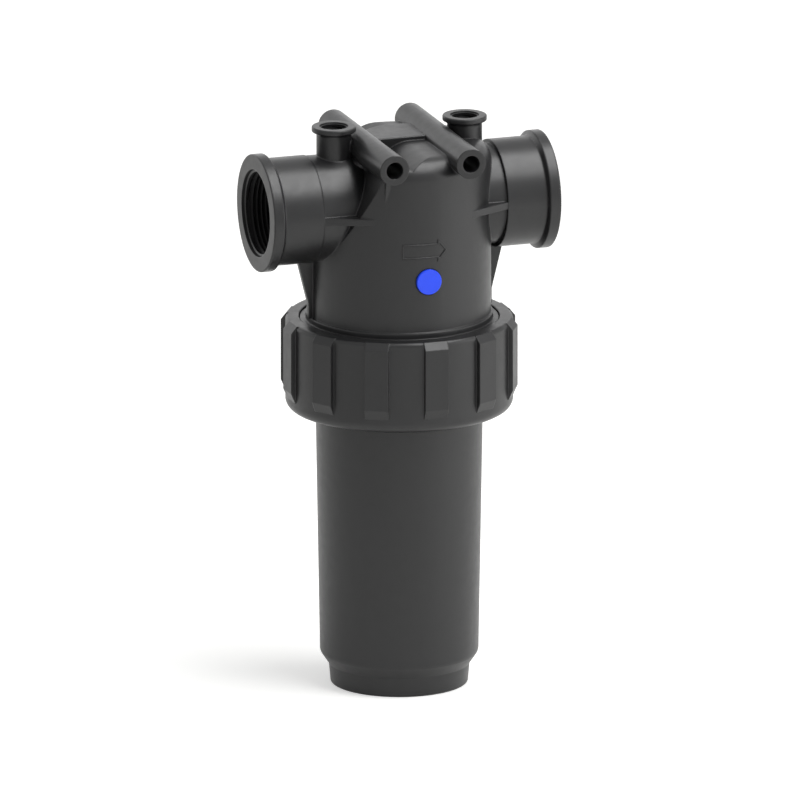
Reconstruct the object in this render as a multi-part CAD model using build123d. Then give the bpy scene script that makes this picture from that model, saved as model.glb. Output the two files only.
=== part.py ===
"""Inline water filter: a moulded head with two pipe ports and a bowl held on by a ring nut.

Millimetres. The origin is the middle of the bowl's foot. +Z is up, the two pipe ports lie along X
(inlet at -X, outlet at +X), and the blue mesh plug faces -Y.
"""
import os
from math import radians, sin, tan

from build123d import *

EDGE_R = 0.5                # usual rounding of a moulded edge

# Bowl: a deep cup with a narrower foot, and a flange that the ring nut lifts
BOWL_LENGTH = 143.2         # foot to the underside of the flange
BOWL_MOUTH_R = 40.7         # outside, under the flange
BOWL_DRAFT = 1.0            # degrees, on the outer wall
BOWL_WALL = 3.8
BOWL_FLANGE_SET_BACK = 0.6  # inside the skirt's thread core, so that the nut's thread passes
BOWL_FLANGE_THICKNESS = 6.0
FOOT_R = 34.2
FOOT_HEIGHT = 9.6
FOOT_SHOULDER = 6.3         # height over which the foot widens into the wall
FOOT_TAPER = 0.9            # how much the foot narrows towards the floor
FOOT_EDGE_R = 1.0
FOOT_TOP_R = 1.5            # concave, where the foot meets the shoulder
SHOULDER_R = 4.0
FLOOR_THICKNESS = 4.6
CENTRING_RING_R = 17.0      # upstand on the floor that centres the cartridge
CENTRING_RING_HEIGHT = 7.0

# Seal between the bowl's flange and the head's skirt
SEAL_SET_BACK = 3.1         # flange's edge to the middle of the seal
SEAL_WIDTH = 3.4
SEAL_GROOVE_DEPTH = 2.6
SEAL_STAND = 0.3            # how far the pressed seal holds the flange off the skirt
SEAL_SIDE_GAP = 0.1

# Head: main body, roof and skirt
BODY_R = 44.6
BODY_WALL = 3.8
SKIRT_LENGTH = 33.0
SKIRT_CORE_STEP = 2.6       # body to the root of the outer thread
SKIRT_LAND_STEP = 1.3       # thread root to the plain land above the thread
SKIRT_LAND_HEIGHT = 4.5
LIP_STEP = 0.9              # body to the lip
LIP_HEIGHT = 3.2            # from the top of the skirt to the top of the lip
PORT_RISE = 91.0            # skirt's lower face to the port axis
ROOF_RISE = 30.4            # port axis to the roof
OUTLET_WALL_X = -13.0       # left side of the raised outlet block
OUTLET_ARCH_R = 17.5
LEDGE_X = -31.9             # where the sloping side over the inlet crosses the port axis
LEDGE_SLOPE = 63.3          # degrees, falling towards the inlet
ROOF_EDGE_R = 10.0
CROWN_R = 23.0              # raised half disc behind the roof
CROWN_RISE = 2.1
CROWN_FRONT_Y = -2.5

# Pipe ports
PORT_REACH = 73.5           # bowl axis to each port face
PORT_RIM_R = 28.8
PORT_RIM_WIDTH = 5.3
PORT_RIM_BACK = 1.3         # length of the sloping back of the rim
PORT_COLLAR_R = 26.3
INLET_NECK_R = 25.9
OUTLET_NECK_R = 24.4
PORT_COLLAR_START = 47.0    # bowl axis to the step between neck and collar
PORT_THREAD_R = 20.95       # root of the pipe thread, G 1 1/4
PORT_THREAD_LENGTH = 21.0
PORT_MOUTH_R = 21.4
PORT_MOUTH_DEPTH = 1.2
PORT_BORE_R = 17.5
NECK_END_X = -14.0
NECK_END_ROUND = 17.0
NECK_BORE_END_X = -17.5

# Outlet tube inside the head
OUTLET_TUBE_R = 18.0        # inside
OUTLET_TUBE_WALL = 3.5
OUTLET_BEND_X = 3.5
OUTLET_BEND_DROP = 2.0
SPIGOT_LENGTH = 29.0        # how far the tube hangs below the pipe bore

# Gauge bosses
GAUGE_X = 33.5
GAUGE_RISE = 40.4           # port axis to the top face
GAUGE_BOSS_R = 8.5
GAUGE_FLANGE_R = 10.8
GAUGE_FLANGE_THICKNESS = 2.6
GAUGE_FLANGE_FOOT_R = 1.6   # concave, under the flange
GAUGE_THREAD_R = 6.58       # root of the pipe thread, G 1/4
GAUGE_THREAD_LENGTH = 12.0
GAUGE_MOUTH_R = 7.1
GAUGE_MOUTH_DEPTH = 0.6
GAUGE_PASSAGE_R = 3.0

# Mounting tubes
MOUNT_X = 19.6
MOUNT_RISE = 29.4
MOUNT_TUBE_R = 7.45
MOUNT_HOLE_R = 4.25
MOUNT_FRONT_Y = -51.0
MOUNT_BACK_Y = 42.5
PEDESTAL_X = -26.3          # outer side of the block under the left tube
PEDESTAL_HALF_DEPTH = 12.0
PEDESTAL_CORNER_R = 4.0
RIB_THICKNESS = 2.4
RIB_REACH = 42.0            # upper front corner of the rib under the left tube
RIB_BACK_REACH = 40.0
RIB_FOOT_REACH = 38.0

# Gussets
GUSSET_THICKNESS = 3.4
GUSSET_COLLAR_STEP = 0.3    # flat gusset's edge inside the collar's outline
GUSSET_BODY_Y = 37.1        # where it runs out on the body
SIDE_GUSSET_THICKNESS = 3.0
SIDE_GUSSET_TOP_X = 52.4
SIDE_GUSSET_FOOT_X = 46.9
SIDE_GUSSET_FOOT_DROP = 47.3

# Ring nut
NUT_BOTTOM_LIP = 5.6        # thickness of the lip under the bowl's flange
NUT_HEIGHT = 45.7
NUT_WALL = 6.6              # at the bore that runs over the skirt's land
NUT_TOP_EDGE_R = 2.0
NUT_BOTTOM_EDGE_R = 5.0
NUT_LIP_CLEARANCE = 1.0     # around the bowl's wall
GRIP_RIBS = 12
GRIP_RIB_WIDTH = 12.0
GRIP_RIB_STAND = 2.1        # each rib's face outside the nut's wall
GRIP_ROOT = 5.1             # how deep each rib stands in the nut's wall
GRIP_TOP_CHAMFER = 3.6
GRIP_TOP_SET_BACK = 0.8     # nut's wall to the outer edge of the rib's flat top
GRIP_BOTTOM_CHAMFER = 4.8
GRIP_FOOT_GAP = 7.3         # nut's lower face to the ribs' lower ends
RUNNING_GAP = 0.2           # nut bore and bowl flange

# Mesh colour plug
PLUG_R = 6.3
PLUG_DROP = 29.5            # below the port axis
PLUG_DEPTH = 2.2            # into the wall
PLUG_STAND = 1.0            # proud of the wall
PLUG_EDGE_R = 0.4
PLUG_CLEARANCE = 0.1

# Cartridge: a ribbed cage with a mesh sleeve round it, held by two caps
CAGE_R = 26.8
CAGE_WALL = 2.2
CAGE_RIBS = 8               # an even number
CAGE_RIB_WIDTH = 3.0
CAGE_HOOPS = 6
CAGE_HOOP_HEIGHT = 2.4
SCREEN_THICKNESS = 0.5
SCREEN_CLEARANCE = 0.1      # to the cage inside it and the caps outside it
CAP_RIM_WALL = 1.7
CAP_OVERLAP = 6.0           # how far each cap's rim holds the cage
CAP_THICKNESS = 3.0
CAP_COLLAR_HEIGHT = 13.0
CAP_COLLAR_WALL = 2.5
CARTRIDGE_CLEARANCE = 0.4   # cap sockets to the spigot and to the centring ring
GASKET_THICKNESS = 2.0
GASKET_WIDTH = 3.3

# Radii that follow
SKIRT_CORE_R = BODY_R + SKIRT_CORE_STEP
SKIRT_LAND_R = SKIRT_CORE_R + SKIRT_LAND_STEP
LIP_R = BODY_R + LIP_STEP
BOWL_FLANGE_R = SKIRT_CORE_R - BOWL_FLANGE_SET_BACK
SEAL_R = BOWL_FLANGE_R - SEAL_SET_BACK
SPIGOT_R = OUTLET_TUBE_R + OUTLET_TUBE_WALL
NUT_BORE_R = SKIRT_LAND_R + RUNNING_GAP
NUT_WALL_R = NUT_BORE_R + NUT_WALL
GRIP_RIB_R = NUT_WALL_R + GRIP_RIB_STAND
SCREEN_R = CAGE_R + SCREEN_CLEARANCE
CAP_RIM_R = SCREEN_R + SCREEN_THICKNESS + SCREEN_CLEARANCE
CAP_R = CAP_RIM_R + CAP_RIM_WALL

# Heights that follow
FLANGE_Z = BOWL_LENGTH
SKIRT_Z = FLANGE_Z + BOWL_FLANGE_THICKNESS + SEAL_STAND
LAND_Z = SKIRT_Z + SKIRT_LENGTH
LIP_Z = LAND_Z + LIP_HEIGHT
PORT_Z = SKIRT_Z + PORT_RISE
ROOF_Z = PORT_Z + ROOF_RISE
GAUGE_Z = PORT_Z + GAUGE_RISE
MOUNT_Z = PORT_Z + MOUNT_RISE
NUT_Z = FLANGE_Z - NUT_BOTTOM_LIP
SPIGOT_Z = PORT_Z - PORT_BORE_R - SPIGOT_LENGTH - OUTLET_TUBE_WALL
BASE_CAP_Z = FLOOR_THICKNESS + GASKET_THICKNESS
TOP_CAP_Z = SPIGOT_Z - GASKET_THICKNESS
CAGE_FOOT_Z = BASE_CAP_Z + CAP_THICKNESS
CAGE_TOP_Z = TOP_CAP_Z - CAP_THICKNESS

CUT = 1.0                   # how far a cut runs past the face that it opens


def turned(*corners, plane=Plane.XZ, axis=Axis.Z):
    """Solid turned about the axis from (radius, height, rounding) corners."""
    line = FilletPolyline(
        *[(r, z) for r, z, _ in corners],
        radius=[rounding for _, _, rounding in corners],
        close=True,
    )
    return revolve(plane * make_face(line), axis)


def plate(plane, thickness, *corners):
    """Flat plate on both sides of a plane from (x, y) corners."""
    return extrude(plane * make_face(Polyline(*corners, close=True)), thickness / 2, both=True)


def bar(start, direction, radius, length):
    """Round bar from a start point along a direction."""
    return Plane(origin=start, z_dir=direction) * Cylinder(
        radius, length, align=(Align.CENTER, Align.CENTER, Align.MIN)
    )


def bowl_radius(z):
    """Outer radius of the bowl's drafted wall at a height."""
    return BOWL_MOUTH_R - (FLANGE_Z - z) * tan(radians(BOWL_DRAFT))


def bowl():
    shoulder_z = FOOT_HEIGHT + FOOT_SHOULDER
    shoulder_r = bowl_radius(shoulder_z)
    flange_top = FLANGE_Z + BOWL_FLANGE_THICKNESS
    groove = SEAL_WIDTH / 2 + SEAL_SIDE_GAP
    groove_z = flange_top - SEAL_GROOVE_DEPTH
    cup = turned(
        (0, 0, 0),
        (FOOT_R - FOOT_TAPER, 0, FOOT_EDGE_R),
        (FOOT_R, FOOT_HEIGHT, FOOT_TOP_R),
        (shoulder_r, shoulder_z, SHOULDER_R),
        (BOWL_MOUTH_R, FLANGE_Z, 0),
        (BOWL_FLANGE_R, FLANGE_Z, 0),
        (BOWL_FLANGE_R, flange_top, 0),
        (SEAL_R + groove, flange_top, 0),
        (SEAL_R + groove, groove_z, 0),
        (SEAL_R - groove, groove_z, 0),
        (SEAL_R - groove, flange_top, 0),
        (BOWL_MOUTH_R - BOWL_WALL, flange_top, 0),
        (shoulder_r - BOWL_WALL, shoulder_z + BOWL_WALL / 2, 0),
        (FOOT_R - BOWL_WALL, FOOT_HEIGHT + BOWL_WALL / 2, 0),
        (FOOT_R - BOWL_WALL, FLOOR_THICKNESS, 0),
        (0, FLOOR_THICKNESS, 0),
    )
    ring_top = FLOOR_THICKNESS + CENTRING_RING_HEIGHT
    upstand = turned(
        (CENTRING_RING_R - BOWL_WALL, FLOOR_THICKNESS / 2, 0),
        (CENTRING_RING_R, FLOOR_THICKNESS / 2, 0),
        (CENTRING_RING_R, ring_top, 0),
        (CENTRING_RING_R - BOWL_WALL, ring_top, 0),
    )
    return cup + upstand


def bowl_seal():
    """Square-section rubber ring, pressed between the groove and the skirt."""
    groove_z = FLANGE_Z + BOWL_FLANGE_THICKNESS - SEAL_GROOVE_DEPTH
    return ring(SEAL_R - SEAL_WIDTH / 2, SEAL_R + SEAL_WIDTH / 2, groove_z, SKIRT_Z)


def ring_nut():
    top = NUT_Z + NUT_HEIGHT
    mouth = BOWL_MOUTH_R + NUT_LIP_CLEARANCE
    shell = turned(
        (mouth, NUT_Z, EDGE_R),
        (NUT_WALL_R, NUT_Z, NUT_BOTTOM_EDGE_R),
        (NUT_WALL_R, top, NUT_TOP_EDGE_R),
        (NUT_BORE_R, top, EDGE_R),
        (NUT_BORE_R, FLANGE_Z, 0),
        (mouth, FLANGE_Z, 0),
    )
    foot = NUT_Z + GRIP_FOOT_GAP
    half = GRIP_RIB_WIDTH / 2
    inner = NUT_WALL_R - GRIP_ROOT
    profile = Polyline(
        (inner, foot),
        (NUT_WALL_R, foot),
        (GRIP_RIB_R, foot + GRIP_BOTTOM_CHAMFER),
        (GRIP_RIB_R, top - GRIP_TOP_CHAMFER),
        (NUT_WALL_R - GRIP_TOP_SET_BACK, top),
        (inner, top),
        close=True,
    )
    rib = extrude(Plane.XZ * make_face(profile), half, both=True)
    ribs = [Rot(0, 0, 360 / GRIP_RIBS * i) * rib for i in range(GRIP_RIBS)]
    return shell + ribs


def body_profile(inset):
    """Front view of the arched outlet block and the lower block beside it, moved inwards by an inset."""
    foot = SKIRT_Z - CUT
    roof = ROOF_Z - inset
    wall_x = OUTLET_WALL_X + inset
    arch = FilletPolyline(
        (wall_x, foot),
        (PORT_REACH, foot),
        (PORT_REACH, roof),
        (wall_x, roof),
        radius=[0, 0, 0, OUTLET_ARCH_R - inset],
        close=True,
    )
    shelf = MOUNT_Z - MOUNT_TUBE_R / 2 - inset
    slope = radians(LEDGE_SLOPE)
    crossing_x = LEDGE_X + inset / sin(slope)
    lower = Polyline(
        (crossing_x + (foot - PORT_Z) / tan(slope), foot),
        (OUTLET_WALL_X + OUTLET_ARCH_R, foot),
        (OUTLET_WALL_X + OUTLET_ARCH_R, shelf),
        (crossing_x + (shelf - PORT_Z) / tan(slope), shelf),
        close=True,
    )
    return Plane.XZ * (make_face(arch) + make_face(lower))


def body_block(foot, inset):
    """Round body with a rounded upper edge, cut to the front view and moved inwards by an inset."""
    radius = BODY_R - inset
    column = turned(
        (0, foot, 0),
        (radius, foot, 0),
        (radius, ROOF_Z - inset, ROOF_EDGE_R - inset),
        (0, ROOF_Z - inset, 0),
    )
    return column & extrude(body_profile(inset), BODY_R + CUT, both=True)


def crown():
    """Half disc behind the roof, between the two mounting tubes."""
    top = ROOF_Z + CROWN_RISE
    base = PORT_Z
    disc = Pos(OUTLET_WALL_X + OUTLET_ARCH_R, 0, 0) * bar((0, 0, base), (0, 0, 1), CROWN_R, top - base)
    depth = CROWN_R + abs(CROWN_FRONT_Y) + CUT
    band = Pos(0, CROWN_FRONT_Y, base) * Box(
        2 * MOUNT_X, depth, top - base, align=(Align.CENTER, Align.MIN, Align.MIN)
    )
    half_disc = disc & band
    return fillet(half_disc.edges().group_by(Axis.Z)[-1], EDGE_R)


def port(side):
    """Outside of one pipe port: neck, collar and rim. Side is -1 for the inlet, 1 for the outlet."""
    rim_back = PORT_REACH - PORT_RIM_WIDTH
    barrel = turned(
        (0, PORT_COLLAR_START, 0),
        (PORT_COLLAR_R, PORT_COLLAR_START, 0),
        (PORT_COLLAR_R, rim_back - PORT_RIM_BACK, EDGE_R),
        (PORT_RIM_R, rim_back, EDGE_R),
        (PORT_RIM_R, PORT_REACH, EDGE_R),
        (0, PORT_REACH, 0),
    )
    neck_inner = abs(NECK_END_X)
    neck_r = INLET_NECK_R if side < 0 else OUTLET_NECK_R
    neck = bar((0, 0, neck_inner), (0, 0, 1), neck_r, PORT_COLLAR_START - neck_inner)
    if side < 0:
        neck = fillet(neck.edges().group_by(Axis.Z)[0], NECK_END_ROUND)
    return Plane(origin=(0, 0, PORT_Z), z_dir=(side, 0, 0)) * (barrel + neck)


def port_bore(side, inner_end):
    """Hollow of one pipe port: mouth chamfer, thread root and plain bore."""
    thread_end = PORT_REACH - PORT_THREAD_LENGTH
    hollow = turned(
        (0, inner_end, 0),
        (PORT_BORE_R, inner_end, 0),
        (PORT_BORE_R, thread_end, 0),
        (PORT_THREAD_R, thread_end, 0),
        (PORT_THREAD_R, PORT_REACH - PORT_MOUTH_DEPTH, 0),
        (PORT_MOUTH_R, PORT_REACH, 0),
        (PORT_MOUTH_R, PORT_REACH + CUT, 0),
        (0, PORT_REACH + CUT, 0),
    )
    return Plane(origin=(0, 0, PORT_Z), z_dir=(side, 0, 0)) * hollow


def gussets():
    """Flat webs at the port axis and upright webs below the ports, on both sides."""
    webs = []
    for side in (-1, 1):
        for face in (-1, 1):
            webs.append(
                plate(
                    Plane.XY.offset(PORT_Z),
                    GUSSET_THICKNESS,
                    (0, 0),
                    (side * PORT_COLLAR_START, 0),
                    (side * PORT_COLLAR_START, face * (PORT_COLLAR_R - GUSSET_COLLAR_STEP)),
                    (side * (BODY_R**2 - GUSSET_BODY_Y**2) ** 0.5, face * GUSSET_BODY_Y),
                )
            )
        webs.append(
            plate(
                Plane.XZ,
                SIDE_GUSSET_THICKNESS,
                (0, PORT_Z),
                (side * SIDE_GUSSET_TOP_X, PORT_Z),
                (side * SIDE_GUSSET_TOP_X, PORT_Z - PORT_COLLAR_R + CUT),
                (side * SIDE_GUSSET_FOOT_X, PORT_Z - SIDE_GUSSET_FOOT_DROP),
                (side * SIDE_GUSSET_FOOT_X, LIP_Z),
                (0, LIP_Z),
            )
        )
    return webs


def skirt():
    """Lip, plain land and thread core that the ring nut goes over."""
    lip_foot = LAND_Z - SKIRT_LAND_HEIGHT
    return turned(
        (0, SKIRT_Z, 0),
        (SKIRT_CORE_R, SKIRT_Z, 0),
        (SKIRT_CORE_R, lip_foot, 0),
        (SKIRT_LAND_R, lip_foot, 0),
        (SKIRT_LAND_R, LAND_Z, EDGE_R),
        (LIP_R, LAND_Z, 0),
        (LIP_R, LIP_Z, EDGE_R),
        (0, LIP_Z, 0),
    )


def outlet_tube(radius, start_z):
    """Tube from the cartridge up and out to the outlet port, as one solid of the given radius."""
    bend_z = PORT_Z - OUTLET_BEND_DROP
    riser = bar((0, 0, start_z), (0, 0, 1), radius, bend_z - start_z)
    bend = Pos(OUTLET_BEND_X, 0, bend_z) * Sphere(radius)
    run = bar((OUTLET_BEND_X, 0, PORT_Z), (1, 0, 0), radius, PORT_COLLAR_START - OUTLET_BEND_X)
    return riser + bend + run


def inlet_chamber():
    """Inlet bore and the hollow between the head's wall and the outlet tube, open at the bottom."""
    hollow = body_block(SKIRT_Z - CUT, BODY_WALL) + port_bore(-1, -NECK_BORE_END_X)
    return hollow - outlet_tube(SPIGOT_R, SPIGOT_Z)


def mounting_tube(x):
    """One through tube along Y, without its hole."""
    return bar((x, MOUNT_FRONT_Y, MOUNT_Z), (0, 1, 0), MOUNT_TUBE_R, MOUNT_BACK_Y - MOUNT_FRONT_Y)


def left_pedestal():
    """Block and long upright rib that carry the mounting tube over the inlet side."""
    width = OUTLET_WALL_X - PEDESTAL_X + CUT
    block = Pos(PEDESTAL_X, 0, PORT_Z) * Box(
        width, 2 * PEDESTAL_HALF_DEPTH, MOUNT_RISE, align=(Align.MIN, Align.CENTER, Align.MIN)
    )
    block = fillet(block.edges().filter_by(Axis.Z).group_by(Axis.X)[0], PEDESTAL_CORNER_R)
    rib = plate(
        Plane.YZ.offset(-MOUNT_X),
        RIB_THICKNESS,
        (-RIB_FOOT_REACH, PORT_Z),
        (-RIB_REACH, MOUNT_Z - MOUNT_TUBE_R / 2),
        (0, MOUNT_Z),
        (RIB_BACK_REACH, MOUNT_Z - MOUNT_TUBE_R / 2),
        (RIB_FOOT_REACH, PORT_Z),
    )
    return block + rib


def gauge_boss(side):
    """Upright boss with a flange. Side is -1 over the inlet, 1 over the outlet."""
    flange_foot = GAUGE_RISE - GAUGE_FLANGE_THICKNESS
    start = OUTLET_TUBE_R if side > 0 else PORT_BORE_R + CUT
    boss = turned(
        (0, start, 0),
        (GAUGE_BOSS_R, start, 0),
        (GAUGE_BOSS_R, flange_foot, GAUGE_FLANGE_FOOT_R),
        (GAUGE_FLANGE_R, flange_foot, EDGE_R),
        (GAUGE_FLANGE_R, GAUGE_RISE, EDGE_R),
        (0, GAUGE_RISE, 0),
    )
    return Pos(side * GAUGE_X, 0, PORT_Z) * boss


def gauge_hole(side):
    """Pipe thread root and the small passage down into the port's bore."""
    thread_foot = GAUGE_RISE - GAUGE_THREAD_LENGTH
    hole = turned(
        (0, 0, 0),
        (GAUGE_PASSAGE_R, 0, 0),
        (GAUGE_PASSAGE_R, thread_foot, 0),
        (GAUGE_THREAD_R, thread_foot, 0),
        (GAUGE_THREAD_R, GAUGE_RISE - GAUGE_MOUTH_DEPTH, 0),
        (GAUGE_MOUTH_R, GAUGE_RISE, 0),
        (GAUGE_MOUTH_R, GAUGE_RISE + CUT, 0),
        (0, GAUGE_RISE + CUT, 0),
    )
    return Pos(side * GAUGE_X, 0, PORT_Z) * hole


def plug_pocket():
    """Blind round pocket in the front of the body for the mesh plug."""
    floor_y = -(BODY_R - PLUG_DEPTH)
    return bar((0, floor_y, PORT_Z - PLUG_DROP), (0, -1, 0), PLUG_R + PLUG_CLEARANCE, PLUG_DEPTH + CUT)


def head():
    solid = body_block(LAND_Z, 0) + [crown(), skirt(), port(-1), port(1)] + gussets()
    solid += left_pedestal()
    solid -= inlet_chamber()
    solid += [mounting_tube(-MOUNT_X), mounting_tube(MOUNT_X), gauge_boss(-1), gauge_boss(1)]
    solid -= port_bore(1, OUTLET_BEND_X)
    solid -= outlet_tube(OUTLET_TUBE_R, SPIGOT_Z - CUT) & bar(
        (0, 0, SPIGOT_Z - CUT), (0, 0, 1), SPIGOT_R, PORT_RISE
    )
    solid -= [gauge_hole(-1), gauge_hole(1), plug_pocket()]
    for x in (-MOUNT_X, MOUNT_X):
        length = MOUNT_BACK_Y - MOUNT_FRONT_Y + 2 * CUT
        solid -= bar((x, MOUNT_FRONT_Y - CUT, MOUNT_Z), (0, 1, 0), MOUNT_HOLE_R, length)
    return solid


def mesh_plug():
    floor_y = -(BODY_R - PLUG_DEPTH)
    disc = bar((0, floor_y, PORT_Z - PLUG_DROP), (0, -1, 0), PLUG_R, PLUG_DEPTH + PLUG_STAND)
    return fillet(disc.edges().group_by(Axis.Y)[0], PLUG_EDGE_R)


def ring(inner, outer, bottom, top):
    """Plain ring."""
    return turned((inner, bottom, 0), (outer, bottom, 0), (outer, top, 0), (inner, top, 0))


def cartridge_cage():
    """Hoops and upright ribs, open between them, with a plain band at each end for the caps."""
    inner = CAGE_R - CAGE_WALL
    shell = ring(inner, CAGE_R, CAGE_FOOT_Z, CAGE_TOP_Z)
    length = CAGE_TOP_Z - CAGE_FOOT_Z
    blade = Pos(0, 0, CAGE_FOOT_Z) * Box(
        2 * CAGE_R, CAGE_RIB_WIDTH, length, align=(Align.CENTER, Align.CENTER, Align.MIN)
    )
    blades = blade + [Rot(0, 0, 360 / CAGE_RIBS * i) * blade for i in range(1, CAGE_RIBS // 2)]
    ribs = shell & blades
    bands = [
        ring(inner, CAGE_R, CAGE_FOOT_Z, CAGE_FOOT_Z + CAP_OVERLAP),
        ring(inner, CAGE_R, CAGE_TOP_Z - CAP_OVERLAP, CAGE_TOP_Z),
    ]
    pitch = (length - 2 * CAP_OVERLAP) / (CAGE_HOOPS + 1)
    for i in range(1, CAGE_HOOPS + 1):
        middle = CAGE_FOOT_Z + CAP_OVERLAP + pitch * i
        bands.append(ring(inner, CAGE_R, middle - CAGE_HOOP_HEIGHT / 2, middle + CAGE_HOOP_HEIGHT / 2))
    return ribs + bands


def cartridge_screen():
    """Mesh sleeve round the cage, drawn as a thin tube."""
    return ring(SCREEN_R, SCREEN_R + SCREEN_THICKNESS, CAGE_FOOT_Z, CAGE_TOP_Z)


def cartridge_top_cap():
    """Cap with a rim round the cage and a collar that slides over the head's spigot."""
    socket = SPIGOT_R + CARTRIDGE_CLEARANCE
    return turned(
        (OUTLET_TUBE_R, CAGE_TOP_Z, 0),
        (CAP_RIM_R, CAGE_TOP_Z, 0),
        (CAP_RIM_R, CAGE_TOP_Z - CAP_OVERLAP, 0),
        (CAP_R, CAGE_TOP_Z - CAP_OVERLAP, 0),
        (CAP_R, TOP_CAP_Z, 0),
        (socket + CAP_COLLAR_WALL, TOP_CAP_Z, 0),
        (socket + CAP_COLLAR_WALL, TOP_CAP_Z + CAP_COLLAR_HEIGHT, 0),
        (socket, TOP_CAP_Z + CAP_COLLAR_HEIGHT, 0),
        (socket, TOP_CAP_Z, 0),
        (OUTLET_TUBE_R, TOP_CAP_Z, 0),
    )


def cartridge_base_cap():
    """Closed cap with a rim round the cage and a socket over the bowl's centring ring."""
    socket = CENTRING_RING_R + CARTRIDGE_CLEARANCE
    socket_top = FLOOR_THICKNESS + CENTRING_RING_HEIGHT + CARTRIDGE_CLEARANCE
    return turned(
        (0, socket_top, 0),
        (socket, socket_top, 0),
        (socket, BASE_CAP_Z, 0),
        (CAP_R, BASE_CAP_Z, 0),
        (CAP_R, CAGE_FOOT_Z + CAP_OVERLAP, 0),
        (CAP_RIM_R, CAGE_FOOT_Z + CAP_OVERLAP, 0),
        (CAP_RIM_R, CAGE_FOOT_Z, 0),
        (socket + CAP_COLLAR_WALL, CAGE_FOOT_Z, 0),
        (socket + CAP_COLLAR_WALL, socket_top + CAP_COLLAR_WALL, 0),
        (0, socket_top + CAP_COLLAR_WALL, 0),
    )


def cartridge_top_gasket():
    """Flat gasket between the spigot's end and the top cap."""
    outer = SPIGOT_R
    return ring(outer - GASKET_WIDTH, outer, TOP_CAP_Z, SPIGOT_Z)


def cartridge_base_gasket():
    """Flat gasket between the bowl's floor and the base cap."""
    inner = CENTRING_RING_R + CARTRIDGE_CLEARANCE + GASKET_WIDTH / 2
    return ring(inner, inner + GASKET_WIDTH, FLOOR_THICKNESS, BASE_CAP_Z)


PARTS = {
    "head": head,
    "mesh_plug": mesh_plug,
    "ring_nut": ring_nut,
    "bowl": bowl,
    "bowl_seal": bowl_seal,
    "cartridge_cage": cartridge_cage,
    "cartridge_screen": cartridge_screen,
    "cartridge_top_cap": cartridge_top_cap,
    "cartridge_base_cap": cartridge_base_cap,
    "cartridge_top_gasket": cartridge_top_gasket,
    "cartridge_base_gasket": cartridge_base_gasket,
}

os.makedirs("parts", exist_ok=True)
for name, build in PARTS.items():
    export_step(build(), f"parts/{name}.step")
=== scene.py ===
"""Inline water filter: a moulded black head with two pipe ports, a ribbed ring nut and a deep bowl.

The scene is in metres. The filter's own sizes are written in millimetres and multiplied by MM. +Z is up,
the inlet port looks along -X, the outlet port along +X and the blue plug faces -Y.
"""

import math

import bpy
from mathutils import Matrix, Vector


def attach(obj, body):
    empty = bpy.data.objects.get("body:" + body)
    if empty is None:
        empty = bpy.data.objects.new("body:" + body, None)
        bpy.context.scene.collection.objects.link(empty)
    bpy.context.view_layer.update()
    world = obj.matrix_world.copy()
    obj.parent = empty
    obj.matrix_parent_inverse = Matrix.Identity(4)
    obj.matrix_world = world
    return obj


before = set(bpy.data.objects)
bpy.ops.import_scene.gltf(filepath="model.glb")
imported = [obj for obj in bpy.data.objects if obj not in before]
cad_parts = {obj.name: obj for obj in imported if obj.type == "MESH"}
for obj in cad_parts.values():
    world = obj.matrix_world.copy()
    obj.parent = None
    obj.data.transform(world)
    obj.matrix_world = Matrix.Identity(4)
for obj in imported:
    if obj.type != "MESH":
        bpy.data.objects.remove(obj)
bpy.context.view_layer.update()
MM = 0.001


# Head
# One large moulding in glass-filled polypropylene, black right through. The mould is spark-eroded, so the
# skin is an even satin with a fine pebble, and the long glass fibres leave faint streaks along the flow.
HEAD_SKIN, HEAD_STREAK = "#161617", "#1d1d1e"
POLYPROPYLENE_IOR = 1.49
STREAK_WIDTH = 14
STREAK_SQUEEZE = 0.22  # along Z, which draws the streaks out upright
CLOUD_WIDTH = 5  # patches of more and of less sheen
PEBBLE_WIDTH = 0.8  # 0.2 on the real skin, under half a pixel of the main view, so it is drawn coarser


def linear(code):
    """Linear colour of an sRGB hex code."""
    channels = [int(code[i : i + 2], 16) / 255 for i in (1, 3, 5)]
    return [c / 12.92 if c <= 0.04045 else ((c + 0.055) / 1.055) ** 2.4 for c in channels] + [1.0]


def add(tree, kind, inputs=None, **settings):
    """Adds a shader node with its settings. An input is a value, or the socket that is linked to it."""
    node = tree.nodes.new(kind)
    for name, value in settings.items():
        setattr(node, name, value)
    for name, value in (inputs or {}).items():
        if isinstance(value, bpy.types.NodeSocket):
            tree.links.new(value, node.inputs[name])
        else:
            node.inputs[name].default_value = value
    return node


def blank(name):
    """A new material with its node tree emptied down to the output."""
    material = bpy.data.materials.new(name)
    material.use_nodes = True
    tree = material.node_tree
    tree.nodes.clear()
    return material, tree, tree.nodes.new("ShaderNodeOutputMaterial")


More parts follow.
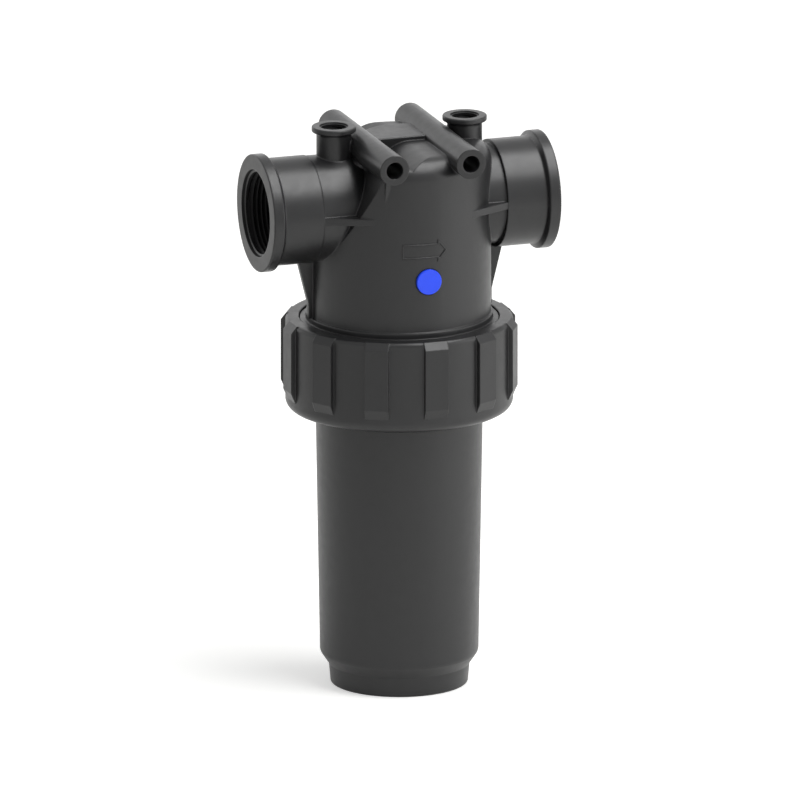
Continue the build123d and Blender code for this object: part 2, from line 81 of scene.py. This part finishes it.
def moulded_polypropylene(name, skin, streak, roughness, edge, shine=0.5):
    """Satin moulded plastic: pebble in the skin, faint flow streaks, edges a little rounded by the mould.

    Edge is the radius of that rounding in millimetres, and shine is the specular level.
    """
    material, tree, output = blank(name)
    place = add(tree, "ShaderNodeTexCoord").outputs["Object"]
    upright = add(tree, "ShaderNodeMapping", {"Vector": place, "Scale": (1.0, 1.0, STREAK_SQUEEZE)})
    streaks = add(
        tree,
        "ShaderNodeTexNoise",
        {
            "Vector": upright.outputs[0],
            "Scale": 1 / (STREAK_WIDTH * MM),
            "Detail": 4.0,
            "Roughness": 0.6,
        },
    )
    cloud = add(
        tree,
        "ShaderNodeTexNoise",
        {"Vector": place, "Scale": 1 / (CLOUD_WIDTH * MM), "Detail": 3.0, "Roughness": 0.65},
    )
    pebble = add(
        tree,
        "ShaderNodeTexNoise",
        {"Vector": place, "Scale": 1 / (PEBBLE_WIDTH * MM), "Detail": 2.0, "Roughness": 0.5},
    )
    colour = add(
        tree,
        "ShaderNodeMix",
        {"Factor": streaks.outputs["Fac"], "A": linear(skin), "B": linear(streak)},
        data_type="RGBA",
    )
    sheen = add(
        tree,
        "ShaderNodeMapRange",
        {
            "Value": cloud.outputs["Fac"],
            "From Min": 0.3,
            "From Max": 0.7,
            "To Min": roughness - 0.03,
            "To Max": roughness + 0.04,
        },
    )
    rounded = add(tree, "ShaderNodeBevel", {"Radius": edge * MM}, samples=6)
    waves = add(
        tree,
        "ShaderNodeBump",
        {
            "Height": cloud.outputs["Fac"],
            "Normal": rounded.outputs[0],
            "Strength": 0.1,
            "Distance": 0.1 * MM,
        },
    )
    grain = add(
        tree,
        "ShaderNodeBump",
        {
            "Height": pebble.outputs["Fac"],
            "Normal": waves.outputs[0],
            "Strength": 0.25,
            "Distance": 0.05 * MM,
        },
    )
    plastic = add(
        tree,
        "ShaderNodeBsdfPrincipled",
        {
            "Base Color": colour.outputs["Result"],
            "Roughness": sheen.outputs[0],
            "IOR": POLYPROPYLENE_IOR,
            "Specular IOR Level": shine,
            "Normal": grain.outputs[0],
        },
    )
    tree.links.new(plastic.outputs[0], output.inputs["Surface"])
    return material


def coat(node, material):
    """Gives a solid of the frame its finish."""
    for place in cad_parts[node].material_slots:
        place.material = material


head_plastic = moulded_polypropylene(
    "Glass_filled_polypropylene_head", HEAD_SKIN, HEAD_STREAK, roughness=0.37, edge=1.0
)
coat("head", head_plastic)


# Pipe threads in the two ports and the two gauge bosses
# G 1 1/4 and G 1/4 female threads, moulded with the head by cores that screw out. Each is a ridge that
# winds down the root of the hole, with a small flat on its crest, behind a steep lead-in at the end of the
# mouth. Mouth and thread are given a darker, duller skin than the head's, as painted shade for the inside
# of the bore, and the mouth is a thin sleeve of that painted shade over the moulded cone.
# Painted shade: the darker skin of thread and mouth stands in for the shade inside the bore
THREAD_PAINTED_SHADE_SKIN, THREAD_PAINTED_SHADE_STREAK = "#0c0c0d", "#101011"
PORT_Z = 240.5
PORT_FACE = 73.5
PORT_THREAD = {"foot_r": 20.95, "crest_r": 19.5, "pitch": 2.309, "foot_half": 1.12, "crest_half": 0.24}
PORT_TURNS = 7
PORT_START = 2.9  # face to the middle of the outermost turn
# Radius of each corner of the ring's section, and its depth from the face
# The mouth ring is a thin sleeve over the moulded cone, in the thread's painted-shade finish
PORT_MOUTH_SHADE_SLEEVE = [(21.5, 0.03), (21.33, 0.03), (20.89, 1.2), (21.1, 1.2)]
PORT_LEAD = [(21.1, 1.2), (20.89, 1.2), (20.1, 1.65), (20.1, 1.8), (21.1, 2.2)]
GAUGE_X = 33.5
GAUGE_FACE = 280.9
GAUGE_THREAD = {"foot_r": 6.58, "crest_r": 5.72, "pitch": 1.337, "foot_half": 0.64, "crest_half": 0.14}
GAUGE_TURNS = 7
GAUGE_START = 1.9
GAUGE_MOUTH_SHADE_SLEEVE = [(7.2, 0.03), (7.03, 0.03), (6.52, 0.6), (6.7, 0.6)]
GAUGE_LEAD = [(6.7, 0.6), (6.52, 0.6), (6.2, 0.75), (6.2, 0.85), (6.7, 1.0)]
THREAD_ROOTED = 0.12  # how deep a ridge's foot stands in the wall
CREST_BEVEL = 0.45  # of half the crest's flat
STEPS_PER_TURN = 90
RUN_OUT = 0.3  # of a turn, over which each end fades into the wall
RUN_OUT_END = 0.05  # of the ridge's height, left at the very end
MERGE_DISTANCE = 0.002
SMOOTH_ANGLE = math.radians(35)


def deselected():
    """Leaves nothing selected, in object mode."""
    if bpy.context.mode != "OBJECT":
        bpy.ops.object.mode_set(mode="OBJECT")
    bpy.ops.object.select_all(action="DESELECT")


def settled(piece, name, material, body):
    """Puts a piece's place into its mesh, smooths it, and gives it its name, finish, body and slot."""
    deselected()
    piece.select_set(True)
    bpy.context.view_layer.objects.active = piece
    bpy.ops.object.transform_apply(location=True, rotation=True, scale=True)
    bpy.ops.object.mode_set(mode="EDIT")
    bpy.ops.mesh.select_all(action="SELECT")
    bpy.ops.mesh.remove_doubles(threshold=MERGE_DISTANCE * MM)
    bpy.ops.mesh.normals_make_consistent(inside=False)
    bpy.ops.object.mode_set(mode="OBJECT")
    bpy.ops.object.shade_smooth_by_angle(angle=SMOOTH_ANGLE)
    piece.name = piece.data.name = name
    piece.data.materials.clear()
    piece.data.materials.append(material)
    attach(piece, body)


def wound_ridge(place, axis, turns, foot_r, crest_r, pitch, foot_half, crest_half):
    """A right-handed ridge wound from a place along an axis, faded into the wall at both ends.

    Sizes are in millimetres. Its section is a plane, tapered to the crest and bevelled there.
    """
    deselected()
    foot = foot_r - math.copysign(THREAD_ROOTED, crest_r - foot_r)
    bpy.ops.mesh.primitive_plane_add(size=1, location=[c * MM for c in place])
    ridge = bpy.context.object
    for v in ridge.data.vertices:
        r, half = (crest_r, crest_half) if v.co.y > 0 else (foot, foot_half)
        along = math.copysign(half, v.co.x) * MM
        v.co = (0, r * MM, along) if axis == "Z" else (along, r * MM, 0)
        v.select = r == crest_r
    bpy.ops.object.mode_set(mode="EDIT")
    bpy.ops.mesh.select_mode(type="VERT")
    bpy.ops.mesh.bevel(offset=crest_half * CREST_BEVEL * MM, segments=1, affect="VERTICES")
    bpy.ops.object.mode_set(mode="OBJECT")
    radii = [v.co.y / MM for v in ridge.data.vertices]
    winding = ridge.modifiers.new("winding", "SCREW")
    winding.axis = axis
    winding.angle = 2 * math.pi
    winding.screw_offset = pitch * MM
    winding.iterations = turns
    winding.steps = winding.render_steps = STEPS_PER_TURN
    bpy.ops.object.modifier_apply(modifier="winding")
    fade = RUN_OUT * STEPS_PER_TURN
    last = turns * STEPS_PER_TURN
    for i, v in enumerate(ridge.data.vertices):
        step = i // len(radii)
        share = min(1.0, RUN_OUT_END + step / fade, RUN_OUT_END + (last - step) / fade)
        grown = (foot + (radii[i % len(radii)] - foot) * share) / radii[i % len(radii)]
        v.co = [c if "XYZ"[k] == axis else c * grown for k, c in enumerate(v.co)]
    bpy.ops.object.mode_set(mode="EDIT")
    bpy.ops.mesh.select_all(action="SELECT")
    bpy.ops.mesh.fill_holes(sides=len(radii))
    bpy.ops.object.mode_set(mode="OBJECT")
    return ridge


def lathed_ring(place, axis, corners):
    """A closed ring turned about an axis through a place, from (radius, distance along it) corners."""
    deselected()
    bpy.ops.mesh.primitive_circle_add(vertices=len(corners), location=[c * MM for c in place])
    ring = bpy.context.object
    for v, (radius, along) in zip(ring.data.vertices, corners):
        v.co = (0, radius * MM, along * MM) if axis == "Z" else (along * MM, radius * MM, 0)
    turning = ring.modifiers.new("turning", "SCREW")
    turning.axis = axis
    turning.steps = turning.render_steps = STEPS_PER_TURN
    bpy.ops.object.modifier_apply(modifier="turning")
    return ring


def female_thread(name, place, axis, inwards, start, turns, mouth, lead, section):
    """Mouth and ridge in painted shade, and lead-in, of one threaded hole. Inwards is the sign of the way
    in along the axis.
    """
    lead_in = lathed_ring(place, axis, [(radius, inwards * depth) for radius, depth in lead])
    settled(lead_in, f"{name}_lead", lead_plastic, "head_body")
    ring = lathed_ring(place, axis, [(radius, inwards * depth) for radius, depth in mouth])
    first = list(place)
    length = turns * section["pitch"]
    first["XYZ".index(axis)] += start if inwards > 0 else -start - length
    ridge = wound_ridge(first, axis, turns, **section)
    ring.select_set(True)
    bpy.ops.object.join()
    settled(ridge, f"{name}_thread", thread_painted_shade_plastic, "head_body")


lead_plastic = moulded_polypropylene(
    "Glass_filled_polypropylene_lead", HEAD_SKIN, HEAD_STREAK, roughness=0.40, edge=0.1
)
# Darker skin and a weak specular level: painted shade for the inside of the bore
thread_painted_shade_plastic = moulded_polypropylene(
    "Glass_filled_polypropylene_thread_painted_shade",
    THREAD_PAINTED_SHADE_SKIN,
    THREAD_PAINTED_SHADE_STREAK,
    roughness=0.55,
    edge=0.2,
    shine=0.15,
)
for name, side in (("inlet", -1), ("outlet", 1)):
    female_thread(
        f"{name}_port",
        place=(side * PORT_FACE, 0, PORT_Z),
        axis="X",
        inwards=-side,
        start=PORT_START,
        turns=PORT_TURNS,
        mouth=PORT_MOUTH_SHADE_SLEEVE,
        lead=PORT_LEAD,
        section=PORT_THREAD,
    )
    female_thread(
        f"{name}_gauge",
        place=(side * GAUGE_X, 0, GAUGE_FACE),
        axis="Z",
        inwards=-1,
        start=GAUGE_START,
        turns=GAUGE_TURNS,
        mouth=GAUGE_MOUTH_SHADE_SLEEVE,
        lead=GAUGE_LEAD,
        section=GAUGE_THREAD,
    )


# Screw thread between the head's skirt and the ring nut
# A coarse 6 mm thread with broad flat crests, moulded on the skirt and inside the nut. The nut's ridge
# lies half a pitch above the skirt's. The skirt's shows when the nut has been screwed down off the head.
SCREW_PITCH = 6.0
SKIRT_THREAD = {"foot_r": 47.2, "crest_r": 48.35, "pitch": SCREW_PITCH, "foot_half": 1.5, "crest_half": 0.6}
SKIRT_THREAD_Z = 152.2
SKIRT_TURNS = 4
NUT_THREAD = {"foot_r": 48.7, "crest_r": 47.45, "pitch": SCREW_PITCH, "foot_half": 1.5, "crest_half": 0.6}
NUT_TURNS = 3
NUT_SKIN, NUT_STREAK = "#151516", "#1c1c1d"

ridge = wound_ridge((0, 0, SKIRT_THREAD_Z), "Z", SKIRT_TURNS, **SKIRT_THREAD)
settled(ridge, "skirt_thread", head_plastic, "head_body")

nut_plastic = moulded_polypropylene(
    "Glass_filled_polypropylene_nut", NUT_SKIN, NUT_STREAK, roughness=0.38, edge=0.7
)
ridge = wound_ridge((0, 0, SKIRT_THREAD_Z + SCREW_PITCH / 2), "Z", NUT_TURNS, **NUT_THREAD)
settled(ridge, "ring_nut_thread", nut_plastic, "nut_body")


# Ring nut
# The nut is moulded in the same black plastic, in a separate tool, so its skin is a shade duller. Twelve
# grip ribs stand out of its wall, and the mould rounds every edge of theirs a little.
coat("ring_nut", nut_plastic)


# Bowl
# A deep cup, moulded round a long core in a blasted cavity, so its plain wall is a little more matt than
# the head. The colour is the same black, and the streaks run up from the gate in the foot.
BOWL_SKIN, BOWL_STREAK = "#161617", "#1c1c1d"
bowl_plastic = moulded_polypropylene(
    "Glass_filled_polypropylene_bowl", BOWL_SKIN, BOWL_STREAK, roughness=0.40, edge=0.5
)
coat("bowl", bowl_plastic)


# Flow arrow
# An outlined arrow in low relief on the front of the head, cut into the mould, that points from the inlet
# to the outlet. It is the same plastic, and shows only by the light on its edges.
ARROW_TAIL_X, ARROW_NECK_X, ARROW_TIP_X = -13.0, 4.5, 9.5
ARROW_Z = 226.4
ARROW_SHAFT_HALF, ARROW_HEAD_HALF = 3.6, 5.6
ARROW_LINE = 0.75
ARROW_RELIEF = 0.35
ARROW_ROOTED = 0.15  # how deep the relief stands in the wall
BODY_R = 44.6
ARROW_BANDS = 24  # upright cuts that let the flat outline bend round the body

outline = [
    (ARROW_TAIL_X, ARROW_SHAFT_HALF),
    (ARROW_TAIL_X, -ARROW_SHAFT_HALF),
    (ARROW_NECK_X, -ARROW_SHAFT_HALF),
    (ARROW_NECK_X, -ARROW_HEAD_HALF),
    (ARROW_TIP_X, 0),
    (ARROW_NECK_X, ARROW_HEAD_HALF),
    (ARROW_NECK_X, ARROW_SHAFT_HALF),
]
deselected()
bpy.ops.mesh.primitive_circle_add(vertices=len(outline), radius=1, fill_type="NGON", location=(0, 0, 0))
arrow = bpy.context.object
for v, (x, rise) in zip(arrow.data.vertices, outline):
    v.co = (x * MM, 0, (ARROW_Z + rise) * MM)
bpy.ops.object.mode_set(mode="EDIT")
bpy.ops.mesh.select_all(action="SELECT")
bpy.ops.mesh.inset(thickness=ARROW_LINE * MM)
bpy.ops.mesh.delete(type="FACE")
for band in range(1, ARROW_BANDS):
    cut_x = ARROW_TAIL_X + (ARROW_TIP_X - ARROW_TAIL_X) * band / ARROW_BANDS
    bpy.ops.mesh.select_all(action="SELECT")
    bpy.ops.mesh.bisect(plane_co=(cut_x * MM, 0, 0), plane_no=(1, 0, 0))
bpy.ops.object.mode_set(mode="OBJECT")
seat_r = (BODY_R - ARROW_ROOTED) * MM
for v in arrow.data.vertices:
    v.co.y = -math.sqrt(seat_r**2 - v.co.x**2)
relief = arrow.modifiers.new("relief", "SOLIDIFY")
relief.thickness = (ARROW_ROOTED + ARROW_RELIEF) * MM
relief.offset = 1.0
bpy.ops.object.modifier_apply(modifier="relief")
settled(arrow, "flow_arrow", head_plastic, "head_body")


# Mesh plug
# A round plug pressed into the front of the head, moulded in blue polypropylene from a polished tool. Its
# colour tells the mesh of the cartridge.
PLUG_BLUE, PLUG_DEEP_BLUE = "#184af8", "#1444ee"
SWIRL_WIDTH = 6
RIPPLE_WIDTH = 2.5


def glossy_polypropylene(name, skin, streak, roughness):
    """Unfilled plastic from a polished tool: clean colour, a soft gloss and a slow swirl of pigment."""
    material, tree, output = blank(name)
    place = add(tree, "ShaderNodeTexCoord").outputs["Object"]
    swirl = add(
        tree,
        "ShaderNodeTexNoise",
        {"Vector": place, "Scale": 1 / (SWIRL_WIDTH * MM), "Detail": 2.0, "Distortion": 0.8},
    )
    ripple = add(
        tree,
        "ShaderNodeTexNoise",
        {"Vector": place, "Scale": 1 / (RIPPLE_WIDTH * MM), "Detail": 2.0},
    )
    colour = add(
        tree,
        "ShaderNodeMix",
        {"Factor": swirl.outputs["Fac"], "A": linear(skin), "B": linear(streak)},
        data_type="RGBA",
    )
    surface = add(
        tree,
        "ShaderNodeBump",
        {"Height": ripple.outputs["Fac"], "Strength": 0.08, "Distance": 0.1 * MM},
    )
    plastic = add(
        tree,
        "ShaderNodeBsdfPrincipled",
        {
            "Base Color": colour.outputs["Result"],
            "Roughness": roughness,
            "IOR": POLYPROPYLENE_IOR,
            "Normal": surface.outputs[0],
        },
    )
    tree.links.new(plastic.outputs[0], output.inputs["Surface"])
    return material


plug_plastic = glossy_polypropylene("Polypropylene_plug_blue", PLUG_BLUE, PLUG_DEEP_BLUE, roughness=0.28)
coat("mesh_plug", plug_plastic)


# Cartridge
# A blue cage of hoops and ribs with a cap at each end, moulded like the plug, and round it a sleeve of
# plain-woven stainless wire, with a painted highlight on the crowns of the wires and painted shade in
# the holes.
CAGE_BLUE, CAGE_DEEP_BLUE = "#2f42d8", "#2838c2"
# Painted highlight on the crowns of the wires, and painted shade in the holes
WIRE_CROWN_PAINTED_HIGHLIGHT, WIRE_HOLE_PAINTED_SHADE = "#b4b4b0", "#3c3c3b"
WIRE_PITCH = 0.9  # 0.3 on the real sleeve, too fine to show, so it is drawn three times as coarse
SCREEN_R = 27.4

cage_plastic = glossy_polypropylene("Polypropylene_cage_blue", CAGE_BLUE, CAGE_DEEP_BLUE, roughness=0.34)
for node in ("cartridge_cage", "cartridge_top_cap", "cartridge_base_cap"):
    coat(node, cage_plastic)

screen, tree, output = blank("Woven_stainless_steel_mesh")
place = add(tree, "ShaderNodeTexCoord").outputs["Object"]
apart = add(tree, "ShaderNodeSeparateXYZ", {"Vector": place})
angle = add(
    tree,
    "ShaderNodeMath",
    {0: apart.outputs["Y"], 1: apart.outputs["X"]},
    operation="ARCTAN2",
)
# A wire is half a wave. Round the sleeve the number is whole, so that the weave closes.
upright_wires = (angle.outputs[0], round(SCREEN_R / WIRE_PITCH * math.pi))
level_wires = (apart.outputs["Z"], math.pi / (WIRE_PITCH * MM))
waves = []
for source, rate in (upright_wires, level_wires):
    phase = add(tree, "ShaderNodeMath", {0: source, 1: rate}, operation="MULTIPLY")
    wave = add(tree, "ShaderNodeMath", {0: phase.outputs[0]}, operation="SINE")
    waves.append(add(tree, "ShaderNodeMath", {0: wave.outputs[0]}, operation="ABSOLUTE"))
wires = add(tree, "ShaderNodeMath", {0: waves[0].outputs[0], 1: waves[1].outputs[0]}, operation="MAXIMUM")
# The weave mixes the painted shade of the holes with the painted highlight of the crowns
colour = add(
    tree,
    "ShaderNodeMix",
    {"Factor": wires.outputs[0], "A": linear(WIRE_HOLE_PAINTED_SHADE), "B": linear(WIRE_CROWN_PAINTED_HIGHLIGHT)},
    data_type="RGBA",
)
woven = add(tree, "ShaderNodeBump", {"Height": wires.outputs[0], "Strength": 0.6, "Distance": 0.2 * MM})
steel = add(
    tree,
    "ShaderNodeBsdfPrincipled",
    {
        "Base Color": colour.outputs["Result"],
        "Metallic": 1.0,
        "Roughness": 0.32,
        "Normal": woven.outputs[0],
    },
)
tree.links.new(steel.outputs[0], output.inputs["Surface"])
coat("cartridge_screen", screen)


# Seals
# The seal under the skirt and the two flat gaskets are nitrile rubber, moulded in polished plates and then
# dusted, so they are a deep dull black with a greyish bloom in patches.
RUBBER_BLACK, RUBBER_BLOOM = "#141414", "#232322"
RUBBER_IOR = 1.52
BLOOM_WIDTH = 3

rubber, tree, output = blank("Nitrile_rubber")
place = add(tree, "ShaderNodeTexCoord").outputs["Object"]
bloom = add(tree, "ShaderNodeTexNoise", {"Vector": place, "Scale": 1 / (BLOOM_WIDTH * MM), "Detail": 3.0})
colour = add(
    tree,
    "ShaderNodeMix",
    {"Factor": bloom.outputs["Fac"], "A": linear(RUBBER_BLACK), "B": linear(RUBBER_BLOOM)},
    data_type="RGBA",
)
dusty = add(
    tree,
    "ShaderNodeBump",
    {"Height": bloom.outputs["Fac"], "Strength": 0.2, "Distance": 0.05 * MM},
)
skin = add(
    tree,
    "ShaderNodeBsdfPrincipled",
    {
        "Base Color": colour.outputs["Result"],
        "Roughness": 0.62,
        "IOR": RUBBER_IOR,
        "Normal": dusty.outputs[0],
    },
)
tree.links.new(skin.outputs[0], output.inputs["Surface"])
for node in ("bowl_seal", "cartridge_top_gasket", "cartridge_base_gasket"):
    coat(node, rubber)


# Floor
# A wide pale studio floor of matt board. It scatters the light of the lamps, keeps the filter's soft
# shadow, and shows white where nothing shades it, as the backdrop does. Its sizes are in metres.
FLOOR_SIZE = 8.0
FLOOR_COLOUR, FLOOR_MOTTLE = "#f2f2f0", "#eeeeec"
MOTTLE_WIDTH = 0.25
FLOOR_LIFT = 0.45  # light that the board adds where the camera sees it
FLOOR_LIFT_MIRRORED = 0.3  # and where the filter mirrors it

deselected()
bpy.ops.mesh.primitive_plane_add(size=FLOOR_SIZE, location=(0, 0, 0))
floor = bpy.context.object
floor.name = "studio_floor"
paper, tree, output = blank("Matt_white_board")
place = add(tree, "ShaderNodeTexCoord").outputs["Object"]
mottle = add(tree, "ShaderNodeTexNoise", {"Vector": place, "Scale": 1 / MOTTLE_WIDTH, "Detail": 2.0})
shade = add(
    tree,
    "ShaderNodeMix",
    {"Factor": mottle.outputs["Fac"], "A": linear(FLOOR_COLOUR), "B": linear(FLOOR_MOTTLE)},
    data_type="RGBA",
)
board = add(tree, "ShaderNodeBsdfDiffuse", {"Color": shade.outputs["Result"]})
seen = add(tree, "ShaderNodeLightPath")
direct = add(
    tree,
    "ShaderNodeMath",
    {0: seen.outputs["Is Camera Ray"], 1: FLOOR_LIFT},
    operation="MULTIPLY",
)
mirrored = add(
    tree,
    "ShaderNodeMath",
    {0: seen.outputs["Is Glossy Ray"], 1: FLOOR_LIFT_MIRRORED},
    operation="MULTIPLY",
)
lift = add(tree, "ShaderNodeMath", {0: direct.outputs[0], 1: mirrored.outputs[0]})
glow = add(tree, "ShaderNodeEmission", {"Strength": lift.outputs[0]})
both = add(tree, "ShaderNodeAddShader", {0: board.outputs[0], 1: glow.outputs[0]})
tree.links.new(both.outputs[0], output.inputs["Surface"])
floor.data.materials.append(paper)


# Light, camera
# A white studio: a long soft box overhead, weak ones at the right and behind, and a backdrop that the
# camera and reflections see as white, while it lights the filter at a plain level. Sizes are in metres.
BACKDROP_FILL = 0.5

world = bpy.data.worlds.new("White_studio")
bpy.context.scene.world = world
world.use_nodes = True
tree = world.node_tree
tree.nodes.clear()
seen = add(tree, "ShaderNodeLightPath")
shown = seen.outputs["Is Camera Ray"]
for ray in ("Is Glossy Ray", "Is Transmission Ray"):
    shown = add(tree, "ShaderNodeMath", {0: shown, 1: seen.outputs[ray]}, operation="MAXIMUM").outputs[0]
strength = add(tree, "ShaderNodeMapRange", {"Value": shown, "To Min": BACKDROP_FILL, "To Max": 1.0})
sky = add(tree, "ShaderNodeBackground", {"Strength": strength.outputs[0]})
tree.links.new(sky.outputs[0], add(tree, "ShaderNodeOutputWorld").inputs["Surface"])


def soft_box(name, place, aim, width, height, watts):
    """A rectangular area lamp that faces a point."""
    lamp = bpy.data.lights.new(name, "AREA")
    lamp.shape = "RECTANGLE"
    lamp.size, lamp.size_y = width, height
    lamp.energy = watts
    box = bpy.data.objects.new(name, lamp)
    box.location = place
    box.rotation_euler = (Vector(aim) - Vector(place)).to_track_quat("-Z", "Y").to_euler()
    bpy.context.scene.collection.objects.link(box)


soft_box("right_box", place=(1.15, -0.75, 0.5), aim=(0, 0, 0.18), width=1.2, height=1.0, watts=6.5)
soft_box("back_box", place=(-0.2, 1.6, 0.5), aim=(0, 0, 0.2), width=3.0, height=0.9, watts=5.5)
soft_box("top_box", place=(0.36, -0.42, 1.25), aim=(0.36, -0.42, 0), width=0.6, height=1.2, watts=15)

VIEW_BACK = Vector((-0.3115, -0.9148, 0.2571))
VIEW_RIGHT = Vector((0.9466, -0.3223, 0.0))
VIEW_UP = Vector((0.0829, 0.2434, 0.9664))
VIEW_WIDTH = 0.388
VIEW_ASIDE, VIEW_DROP = 0.000388, 0.09666  # from the middle of the ports to the middle of the view
VIEW_CENTRE = Vector((0, 0, PORT_Z * MM)) + VIEW_RIGHT * VIEW_ASIDE - VIEW_UP * VIEW_DROP
VIEW_DISTANCE = 1.5
VIEW_LIMIT = 20  # how far the camera sees, past the far edge of the floor

eye = bpy.data.cameras.new("camera")
eye.type = "ORTHO"
eye.ortho_scale = VIEW_WIDTH
eye.clip_end = VIEW_LIMIT
camera = bpy.data.objects.new("camera", eye)
camera.location = VIEW_CENTRE + VIEW_BACK * VIEW_DISTANCE
camera.rotation_euler = VIEW_BACK.to_track_quat("Z", "Y").to_euler()
bpy.context.scene.collection.objects.link(camera)
bpy.context.scene.camera = camera
bpy.context.scene.view_settings.view_transform = "Standard"
